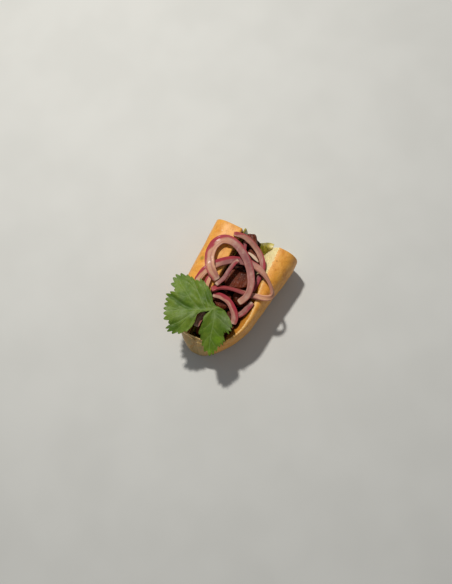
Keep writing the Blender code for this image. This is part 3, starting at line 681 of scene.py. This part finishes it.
def settle(x, yz):
    """Puts a section in place: skewed at the cut; at the nose, foot run out and upper part drawn
    in.
    """
    y, z = yz[:, 0], yz[:, 1]
    g = held((TAPER_FROM - x) / TAPER_LONG) ** 2
    skew = CUT_SKEW * held((x - 10) / (CUT_X - 10)) ** 2
    end = ease(HOLLOW_END - CLOSING, HOLLOW_END - CLOSING - NOSE_WALL, x)
    shifted = x + skew * y - LEAN * g * np.clip(1 - z / 34, 0, 1)
    shifted += CREST_BACK * end * ease(BELLY_RIGHT - 1, BELLY_RIGHT + 15, z)
    return np.column_stack([shifted, y, z])


def round_off(stations, crust, nose, hollow):
    """Rounds the nose: its rows are averaged, time after time, with the rows on both sides."""
    count = len(stations)
    rows = np.concatenate([crust, nose[1:-1], hollow[::-1]])
    place = np.concatenate([stations, np.full(len(nose) - 2, stations[-1]), stations[::-1]])
    loose = ease(ROUND_FROM, ROUND_FULL, place)[1:-1, None, None]
    for _ in range(ROUND_TIMES):
        rows[1:-1] += loose * (0.25 * (rows[:-2] + rows[2:]) - 0.5 * rows[1:-1])
    stop = count + len(nose) - 2
    return rows[:count], rows[count - 1:stop + 1], rows[stop:][::-1]


def build_bread():
    """Crust, hollow and both ends as four grids that share their edges.

    A crust section runs round the outside and a hollow section round the inside, between the
    same two slit edges, so an end is the blend from one to the other.
    """
    stations = np.concatenate([
        CUT_X - (CUT_X - HOLLOW_END) * steps(146),
        HOLLOW_END - CLOSING * steps(12)[1:],
        HOLLOW_END - CLOSING - NOSE_WALL * np.sin(np.linspace(0, pi / 2, 30))[1:]])
    crust, hollow = [], []
    for x in stations:
        section = crust_path(x, CRUST_POINTS)
        crust.append(settle(x, section))
        hollow.append(settle(x, hollow_path(x, section[0], section[-1], CRUST_POINTS)))
    crust, hollow = np.array(crust), np.array(hollow)
    k = steps(CRUST_POINTS)
    edge = ease(0, 0.02, k) * ease(0, 0.02, 1 - k)
    ends = ease(0, 0.02, steps(len(stations)))[:, None]
    ends = ends * ends[::-1]
    hold = edge * ends
    grounded = ease(0.2, 4, crust[..., 2])
    lift = 0.35 * layered(crust, 13, 3) + 0.1 * noise(crust * (0.45, 1, 1), 2.6, 8)
    fold = np.exp(-(crust[..., 0] - 30.5 - 0.5 * (crust[..., 1] - 17)) ** 2
                  - ((crust[..., 1] - 17) / 3.2) ** 2)
    lift = lift - 0.5 * fold * (crust[..., 2] > 30)
    middle = np.array((0, 5, 18))
    crust = crust + outward(crust, middle) * (lift * hold * grounded)[..., None]
    pit = 0.3 * layered(hollow, 3.2, 21) + 0.16 * noise(hollow, 1.2, 25)
    hollow = hollow - outward(hollow, middle) * (pit * hold)[..., None]
    deep = steps(64)[:, None, None]
    cut = crust[0] + (hollow[0] - crust[0]) * deep
    wide = np.linalg.norm(hollow[0] - crust[0], axis=-1)
    inside = ease(0, 0.05, deep[..., 0]) * ease(0, 0.05, 1 - deep[..., 0]) * edge
    crumbs = 0.32 * layered(cut, 2.6, 31) + 0.15 * noise(cut, 1, 35) - 0.1
    cut[..., 0] += crumbs * inside
    inward = steps(24)[:, None]
    nose = crust[-1] + (hollow[-1] - crust[-1]) * inward[..., None]
    nose[..., 0] -= (NOSE_BULGE * np.clip(1 - ((nose[..., 1] - 10.5) / 3.6) ** 2, 0, 1)
                     * ease(0, 0.15, inward) * ease(1, 0.7, inward))
    crust, nose, hollow = round_off(stations, crust, nose, hollow)
    rim = ease(0.5, 1.3, deep[..., 0] * wide)
    x, y, z = hollow[..., 0], hollow[..., 1], hollow[..., 2]
    below = np.maximum(hollow[:, :1, 2], hollow[:, -1:, 2]) - z
    right_side = ease(6, -4, y)
    toast = right_side * ease(26, 14, x) * ease(0.3, 1.5, below)
    toast = np.maximum(toast, (1 - right_side) * ease(0.5, 2, below) * 0.9)
    stain = ease(5.5, 10, below) * ease(30, 16, x)
    lid = ease(*LID, stations)[:, None]
    rear = ease(*REAR, stations)[:, None]
    bare = ease(0.3, 1, below) * (1 - lid)
    away = ease(-33, -42, crust[..., 0]) * ease(-6, 6, crust[..., 1])
    # Painted highlight: a thin light line along the right slit edge towards the nose, and along the
    # nose's front edge and closed top
    crest = np.exp(-((1 - k) * CRUST_POINTS / 1.3) ** 2) * ease(22, 12, crust[..., 0])
    front = ease(*FRONT, stations)[:, None]
    front = front * ease(0.9, 0.2, crust[:, :1, 2] - crust[..., 2])
    make_piece("soft_roll", [crust, hollow, cut, nose], "bread", "bread_crust", bread_finish(),
               crumb=[0, bare, rim, 0], toast=[0, toast * (1 - lid), 0, 0],
               stain=[0, stain * (1 - lid), 0, 0], pale=[away, rear, 0, 1],
               crest=[np.maximum(crest, front), lid - rear, 0, 0])


# ---- the filling

def nest(below, left_top, right_top, gap, count):
    """The part of a trough between two heights of its flanks, lifted clear of its surface."""
    step = np.gradient(below, axis=0)
    normal = np.column_stack([step[:, 1], -step[:, 0]])
    normal /= np.linalg.norm(normal, axis=1)[:, None]
    lifted = below + gap * normal
    low = int(np.argmin(lifted[:, 1]))
    order = np.arange(len(lifted))
    start = np.interp(-left_top, -lifted[:low + 1, 1], order[:low + 1])
    stop = np.interp(right_top, lifted[low:, 1], order[low:])
    at = np.linspace(start, stop, count)
    return np.column_stack([np.interp(at, order, lifted[:, k]) for k in (0, 1)])


def hollow_at(x):
    """The hollow's section at a station inside the slit."""
    inside = max(min(x, CUT_X - 0.8), HOLLOW_END)
    crust = crust_path(inside, 60)
    return inside, hollow_path(inside, crust[0], crust[-1], 90)


def avocado_section(x, count=70):
    """Underside and top of the avocado at one station, both from the left wall to the right."""
    inside, hollow = hollow_at(x)
    right_top = max(hollow[-1, 1] - RIGHT_SMEAR, hollow_floor(inside) + 8)
    squeezed = held((x - 36) / 9) ** 2
    under = nest(hollow, hollow[0, 1] - LEFT_SMEAR + SQUEEZED * squeezed + 0.7 * sin(0.33 * x),
                 right_top + 1.8 * SQUEEZED * squeezed + 0.8 * sin(0.41 * x + 1),
                 1.2 * GAP, count)
    first, last = under[0], under[-1]
    width = first[0] - last[0]
    swell = 1 + 0.75 * squeezed
    deep = hollow_floor(inside) + LINING_THICK + 0.4 * sin(0.27 * x + 2)
    knots = (first, (first[0] - 0.06 * width, first[1] - 0.8), (first[0] - 0.11 * width, 24),
             (first[0] - 0.2 * width, deep + 2), (first[0] - 0.5 * width, deep),
             (last[0] + 0.24 * swell * width, deep + 1.5 * swell),
             (last[0] + 0.13 * swell * width, last[1] - 3),
             (last[0] + 0.07 * swell * width, last[1] - 0.3 * swell), last)
    return under, smooth_path(knots, count)


def packed_section(x, count=60):
    """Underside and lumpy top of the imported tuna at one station."""
    clear = 1.6 + 2.4 * held((-26 - x) / 6)
    under = nest(avocado_section(x)[1], TUNA_LEVEL, hollow_floor(x) + 7.5, clear * GAP, count)
    across = steps(count)
    top = under[0] + (under[-1] - under[0]) * across[:, None]
    lumps = 0.7 * np.sin(0.55 * x + 9 * across) + 0.5 * np.sin(0.9 * x - 14 * across)
    rise = np.sin(pi * across) ** 0.6
    top[:, 1] += rise * (0.5 * (under[0, 1] - under[-1, 1]) + 0.4 + lumps)
    return under, top


def build_layer(name, section, out, node, slot, material, relief):
    """Lofts a layer of the filling; its end past the cut is drawn in, row by row, to a crown."""
    stop = HOLLOW_END + (2 if node == "avocado" else 5) * GAP
    run = np.concatenate([CUT_X + out * np.linspace(1, 0, 6)[:-1], np.linspace(CUT_X, stop, 130)])
    sheets = np.array([[settle(x, line) for line in section(x)] for x in run])
    under, top = sheets[:, 0], sheets[:, 1]
    middle = 0.5 * (under[:1] + top[:1])
    shrink = 1 - 0.25 * np.linspace(1, 0, 6)[:-1, None, None] ** 2
    for sheet in (under, top):
        sheet[:5] = middle + (sheet[:5] - middle) * shrink
    hold = np.sin(pi * steps(top.shape[1])) ** 0.3
    bumps = relief * (layered(top, 3.4, 51) + 0.3 * noise(top, 0.9, 57))
    top[..., 2] += bumps * hold
    first = under[0] + (top[0] - under[0]) * steps(16)[:, None, None]
    first[..., 0] += relief * layered(first, 2.6, 61) * np.sin(pi * steps(16))[:, None] * hold
    last = under[-1] + (top[-1] - under[-1]) * steps(4)[:, None, None]
    make_piece(name, [under, top, first, last], node, slot, material)


def ground():
    """Heights that the chunks lie on, and the left limit there, on a grid of x and y."""
    xs = np.arange(HOLLOW_END + 2, CUT_X - 0.8 + 1e-6, 1)
    ys = np.arange(-24, 26, 0.5)
    heights, limits = [], []
    for x in xs:
        lining = avocado_section(x)[1]
        tops = (packed_section(x)[1], lining, hollow_at(x)[1])
        heights.append(np.max([np.interp(ys, t[::-1, 0], t[::-1, 1], left=0, right=0)
                               for t in tops], axis=0) + GAP)
        flank = lining[:int(np.argmin(lining[:, 1])) + 1]
        limits.append(np.interp(-29, -flank[:, 1], flank[:, 0]))
    return xs, ys, np.array(heights), np.array(limits)


def support(table, x, y):
    """Height under each place and the left limit there, blended between the table's values."""
    xs, ys, heights, limits = table
    u = np.clip(x - xs[0], 0, len(xs) - 1.001)
    v = np.clip((y - ys[0]) / 0.5, 0, len(ys) - 1.001)
    i, j = u.astype(int), v.astype(int)
    f, g = u - i, v - j
    height = ((1 - f) * ((1 - g) * heights[i, j] + g * heights[i, j + 1])
              + f * ((1 - g) * heights[i + 1, j] + g * heights[i + 1, j + 1]))
    return height, (1 - f) * limits[i] + f * limits[i + 1]


def build_chunk(index, table, material):
    """A lumpy chunk: a squared ellipsoid with slow bumps, fine flaking and a flat rest."""
    cx, cy, half_long, half_wide, turn, top = CHUNKS[index]
    around, rows = 120, 70
    phase = np.random.default_rng(40 + index).uniform(0, 2 * pi, 4)
    a = np.linspace(0, 2 * pi, around, endpoint=False)[None, :]
    p = np.linspace(-pi / 2, pi / 2, rows)[:, None]
    low = np.maximum(np.cos(p), 0)
    bump = (1 + 0.07 * np.sin(3 * a + 2 * p + phase[0]) + 0.06 * np.sin(2 * a - 3 * p + phase[1])
            + 0.04 * np.sin(5 * a + phase[2]))
    along = powered(np.cos(a), 0.8) * low ** 0.6 * bump
    across = powered(np.sin(a), 0.8) * low ** 0.6 * bump
    rise = powered(np.sin(p), 0.8) + 0.1 * low * np.sin(2 * a + phase[3])
    floor = float(support(table, np.array(cx), np.array(cy))[0]) + GAP
    c, s = cos(radians(turn)), sin(radians(turn))
    x = cx + c * half_long * along - s * half_wide * across
    y = cy + s * half_long * along + c * half_wide * across
    z = floor + 0.5 * (top - floor) * (1 + np.clip(1.2 * rise, -1, 1)) + 0 * a
    for other, spec in enumerate(CHUNKS):
        if other != index:
            away = np.array([spec[0] - cx, spec[1] - cy])
            far = np.linalg.norm(away)
            away = away / far
            share = (half_long + half_wide) / (half_long + half_wide + spec[2] + spec[3])
            over = np.maximum((x - cx) * away[0] + (y - cy) * away[1] - (far * share - GAP), 0)
            x = x - over * away[0]
            y = y - over * away[1]
    y = np.minimum(y, support(table, x, y)[1] - 2 * GAP)
    z = np.maximum(z, support(table, x, y)[0] + 2.4 * GAP + 0.08 * (z - floor))
    chunk = np.stack([x, y, z], axis=-1)
    grained = np.stack([c * x + s * y, c * y - s * x, z], axis=-1) * (0.3, 1, 1)
    flakes = 0.32 * layered(grained, 2.4, 70 + index) + 0.18 * noise(grained, 0.9, 90 + index)
    ledges = 0.22 * np.abs(noise(grained * (1, 1, 0.6), 1.9, 110 + index))
    hold = ease(0, 0.25, low)
    chunk += outward(chunk, np.array((cx, cy, 0.5 * (floor + top)))) * (
        (flakes - ledges) * hold)[..., None]
    make_piece(f"tuna_piece_{index + 1}", [chunk], f"tuna_chunk_{index + 1}", "tuna_chunks",
               material, wrap=True)


# ---- the onion

def widen(values):
    """Values for the rows of a strip, with the end values repeated for the rows of its caps."""
    return np.concatenate([values[:1].repeat(3, 0), values, values[-1:].repeat(3, 0)])


def build_onion(node, knots, material):
    """A strip with a rounded section, rolled about its run, with ridges along it.

    The section is a superellipse of the strip's width and thickness. Its width narrows at both
    ends, where the last rings shrink to a point and close the strip with a cut face.
    """
    count = 16 * len(knots) + 20
    path = smooth_path(knots, count)
    run = np.gradient(path[:, :3], axis=0)
    run /= np.linalg.norm(run, axis=1)[:, None]
    flat = np.cross((0, 0, 1), run)
    flat /= np.linalg.norm(flat, axis=1)[:, None]
    upright = np.cross(run, flat)
    roll = np.radians(path[:, 3])[:, None]
    wide = (flat * np.cos(roll) + upright * np.sin(roll))[:, None]
    thick = (upright * np.cos(roll) - flat * np.sin(roll))[:, None]
    s = np.concatenate([[0], np.cumsum(np.linalg.norm(np.diff(path[:, :3], axis=0), axis=1))])
    near = np.minimum(s, s[-1] - s)
    taper = (0.8 + 0.2 * ease(0, 1.6, near))[:, None]
    a = np.linspace(0, 2 * pi, 56, endpoint=False)[None, :]
    w = powered(np.cos(a), 0.6)
    t = powered(np.sin(a), 0.22)
    seed = sum(ord(letter) for letter in node)
    along = s[:, None] / 9.0
    lanes = joined(along, 2.4 * w, 0.6 * t)
    streak = 0.5 + 0.5 * noise(lanes * (0.35, 1, 1), 0.65, seed)
    ridge = 1 + 0.1 * noise(lanes * (0.6, 1, 1), 0.8, seed + 3) + 0.05 * (streak - 0.5)
    wander = 1 + 0.05 * noise(joined(along * 3, np.sign(w) * 5, 0), 1, seed + 5)
    half = 0.5 * path[:, 4:5] * taper * wander
    body = (path[:, None, :3] + wide * (half * w)[..., None]
            + thick * (0.5 * ONION_THICK * taper * t * ridge)[..., None])
    shrink = np.array((0, 0.35, 0.7))[:, None, None]
    caps = [path[end, :3] + (body[end] - path[end, :3]) * shrink for end in (0, -1)]
    grid = np.concatenate([caps[0], body, caps[1][::-1]])
    share, *tints = zip(*ONION_TINTS[node])
    reach, depth, pink = (np.interp(s / s[-1], share, tint)[:, None] for tint in tints)
    swell = 1 + 0.3 * noise(joined(along * 2, 7, 3), 1, seed + 9)
    border = 1 - 2 * reach * swell
    skin = depth * ease(border - 0.12, border + 0.22, w + 0 * along) * (reach > 0.01)
    skin = np.maximum(skin, 0.3 * depth * ease(-0.86, -0.97, w))
    pink = np.clip(pink + 0.3 * noise(lanes, 1.4, seed + 11) + 0.12 * w, 0, 1)
    x, y = body[..., 0], body[..., 1]
    warm = np.maximum(ease(13, 19, y), ease(-16.5, -21, y)) * (x < 40)
    warm = warm * (0.25 + 0.3 * ease(20, 2, x)) * (1 - 0.6 * pink)
    end = ease(2.6, 0.2, near)[:, None] * 0.65 + (node == "onion_sliver")
    cut_end = widen(np.clip(end, 0, 1))
    cut_end[:3] = cut_end[-3:] = 1
    skin = widen(skin)
    skin[:3] *= 0.3
    skin[-3:] *= 0.3
    make_piece(node.replace("onion_", "onion_strip_"), [grid], node, "onion_flesh", material,
               wrap=True, skin=[skin], streak=[widen(streak)], pink=[widen(pink)],
               warm=[widen(warm)], cut_end=[cut_end])


# ---- the leaf

def toothed(tips):
    """Adds a nick between the tips of neighbouring teeth; the last number marks a nick."""
    full = [(*tips[0], 0)]
    for before, after in zip(tips, tips[1:]):
        if min(before[1], after[1]) > 15:
            full.append((0.5 * (before[0] + after[0]), 0.5 * (before[1] + after[1]) - TOOTH, 1))
        full.append((*after, 0))
    return full


def leaf_spokes():
    """Angle and reach of every spoke: left leaflet, both edges of the slot, lower leaflet."""
    turns = [SLOT_STEP * (n + 1) for n in range(len(SLOT_REACHES))]
    left, lower = toothed(LEAFLET_LEFT), toothed(LEAFLET_LOWER)
    left += [(left[-1][0] + turn, reach, 0) for turn, reach in zip(turns, SLOT_REACHES)]
    edge = [(lower[0][0] - turn, reach, 0) for turn, reach in zip(turns, SLOT_REACHES)]
    middle = (0.5 * (left[-1][0] + edge[-1][0]), SLOT_APEX, 0)
    return np.array(left + [middle] + edge[::-1] + lower + [(*b, 0) for b in LEAF_BACK])


def swing(angle, reach):
    """Direction of a spoke at a distance from the joint, drawn aside along the slot."""
    left_stop = LEAFLET_LEFT[-1][0] + SLOT_STEP * len(SLOT_REACHES)
    lower_start = LEAFLET_LOWER[0][0] - SLOT_STEP * len(SLOT_REACHES)
    left_edge = np.interp(reach, *zip(*SLOT_LEFT))
    lower_edge = np.interp(reach, *zip(*SLOT_LOWER))
    left = LEFT_START + (angle - LEFT_START) * (left_edge - LEFT_START) / (left_stop - LEFT_START)
    lower = LOWER_STOP - ((LOWER_STOP - angle) * (LOWER_STOP - lower_edge)
                          / (LOWER_STOP - lower_start))
    between = left_edge + (lower_edge - left_edge) * (angle - left_stop) / (lower_start - left_stop)
    turned = np.where(angle <= left_stop, left, np.where(angle < lower_start, between, lower))
    return np.where(angle >= LOWER_STOP, angle, turned)


def leaf_height(angle, reach):
    """The leaf sags away from its joint, the lower leaflet more, and ripples between veins."""
    lower = np.where(angle < 320, 1 / (1 + np.exp(-(angle - 169) / 6)), 0)
    sag = (1 - lower) * 4.5 * (reach / 40) ** 2 + lower * 10.0 * (reach / 36) ** 1.7
    ripple = 0.7 * np.sin(np.radians(9 * angle)) * np.minimum(1, reach / 20)
    return LEAF_JOINT[2] - sag + ripple


def vein_distance(x, y, places):
    """Distance from every point to a path in plan, and how far along the path that is."""
    path = even(np.array(places), 24)
    best = np.full(x.shape, 99.0)
    along = np.zeros(x.shape)
    for n, (start, stop) in enumerate(zip(path, path[1:])):
        step = stop - start
        t = np.clip(((x - start[0]) * step[0] + (y - start[1]) * step[1]) / (step @ step), 0, 1)
        far = np.hypot(x - start[0] - t * step[0], y - start[1] - t * step[1])
        along = np.where(far < best, (n + t) / (len(path) - 1), along)
        best = np.minimum(best, far)
    return best, along


def build_leaf(material):
    """Two leaflets on a fan of spokes: rounded teeth, sunk veins and puffed blade between.

    A tooth is its spoke's reach with a 1.8 power fall to the nicks on both sides. A vein is a
    groove with a bell section along its path, inside a wider and shallower valley.
    """
    spokes = leaf_spokes()
    finer = 6
    closed = np.vstack([spokes, spokes[0] + (360, 0, 0)])
    n = np.arange(len(spokes) * finer)
    i, f = n // finer, (n % finer) / finer
    angle = closed[i, 0] + f * (closed[i + 1, 0] - closed[i, 0])
    bow = np.where(closed[i + 1, 2] > closed[i, 2], f ** 1.8,
                   np.where(closed[i + 1, 2] < closed[i, 2], 1 - (1 - f) ** 1.8, f))
    reach = closed[i, 1] + bow * (closed[i + 1, 1] - closed[i, 1])
    share = steps(60)[:, None]
    r = reach * share
    turned = swing(angle, r)
    x = LEAF_JOINT[0] + r * np.cos(np.radians(turned))
    y = LEAF_JOINT[1] + r * np.sin(np.radians(turned))
    vein, valley = np.zeros_like(x), np.zeros_like(x)
    for width, *places in VEINS:
        far, along = vein_distance(x, y, places)
        fade = ease(1.02, 0.85, along)
        vein = np.maximum(vein, np.exp(-(far / (width * (1.1 - 0.7 * along))) ** 2) * fade)
        valley = np.maximum(valley, np.exp(-(far / VALLEY_WIDE) ** 2) * fade * held(2.2 * width))
    # A crease between the upper and left lobes, sunk into the blade; the same mask darkens it as
    # painted shade
    fold = np.exp(-((vein_distance(x, y, VEINS[1][1:])[0] - 0.6) / 1.1) ** 2)
    fold *= ease(43, 38, y) * ease(18, 24, y)
    place = joined(x, y, 0)
    z = leaf_height(turned, r) - VEIN_DEEP * vein - VALLEY_DEEP * valley * ease(0, 6, r)
    z += (0.35 * layered(place, 7, 131) + 0.16 * noise(place, 1.8, 137)) * share - 0.5 * fold
    top = joined(x, y, z)
    under = top - (0, 0, LEAF_THICK)
    rim = np.stack([top[-1], under[-1]])
    make_piece("coriander_sprig", [top, under, rim], "coriander_leaf", "coriander", material,
               wrap=True, vein=[vein, 0.9 * vein, 0], fold=[0.75 * fold, 0, 0])


# ---- floor, light and camera

def build_floor():
    """A pale, square table top under the roll."""
    mesh = bpy.data.meshes.new("table_top")
    corners = [(x * TABLE_HALF, y * TABLE_HALF, 0) for x, y in ((-1, -1), (1, -1), (1, 1), (-1, 1))]
    mesh.from_pydata(corners, [], [(0, 1, 2, 3)])
    mesh.materials.append(floor_finish())
    floor = add("table_top", mesh)


def build_light():
    """One small round key under an even, weak, pale sky, shown without a film curve."""
    lamp = bpy.data.lights.new("key_soft_box", "AREA")
    lamp.shape = "DISK"
    lamp.size = KEY_SIZE
    lamp.energy = KEY_WATTS
    lamp.color = (1.0, 0.97, 0.91)
    key = add("key_soft_box", lamp)
    key.location = KEY_PLACE
    aim = Vector(KEY_AIM) - Vector(KEY_PLACE)
    key.rotation_euler = aim.to_track_quat("-Z", "Y").to_euler()
    world = bpy.data.worlds.new("studio")
    bpy.context.scene.world = world
    world.use_nodes = True
    background = world.node_tree.nodes["Background"]
    background.inputs["Color"].default_value = (0.93, 0.96, 1.0, 1.0)
    background.inputs["Strength"].default_value = SKY
    bpy.context.scene.view_settings.view_transform = "Standard"


def build_camera():
    """Looks steeply down from the rounded right corner, with a slight roll."""
    lens = bpy.data.cameras.new("camera")
    lens.lens = 35
    lens.sensor_width = 36
    lens.clip_start = 0.01
    lens.clip_end = 5.0
    camera = add("camera", lens)
    rise, roll = radians(CAMERA_RISE), radians(CAMERA_ROLL)
    heading = Vector(CAMERA_HEADING).normalized()
    back = heading * cos(rise) + Vector((0, 0, sin(rise)))
    level = (-back).cross(Vector((0, 0, 1))).normalized()
    upward = level.cross(-back)
    right = level * cos(roll) - upward * sin(roll)
    up = level * sin(roll) + upward * cos(roll)
    turn = Matrix((right, up, back)).transposed().to_4x4()
    camera.matrix_world = Matrix.Translation(CAMERA_PLACE) @ turn
    bpy.context.scene.camera = camera


build_bread()
build_layer("mashed_avocado", avocado_section, LINING_OUT, "avocado", "avocado_mash",
            avocado_finish(), 0.6)
build_layer("packed_tuna", packed_section, TUNA_OUT, "tuna", "tuna_packed",
            tuna_finish("packed tuna", (0.12, 0.032, 0.018), (0.05, 0.013, 0.008), 10), 0.5)
heights = ground()
chunk_finish = tuna_finish("tuna chunks", (0.15, 0.028, 0.009), (0.085, 0.014, 0.005), 20)
for number in range(len(CHUNKS)):
    build_chunk(number, heights, chunk_finish)
pickled = onion_finish()
for strip, strip_knots in ONIONS.items():
    build_onion(strip, strip_knots, pickled)
build_leaf(leaf_finish())
build_floor()
build_light()
build_camera()
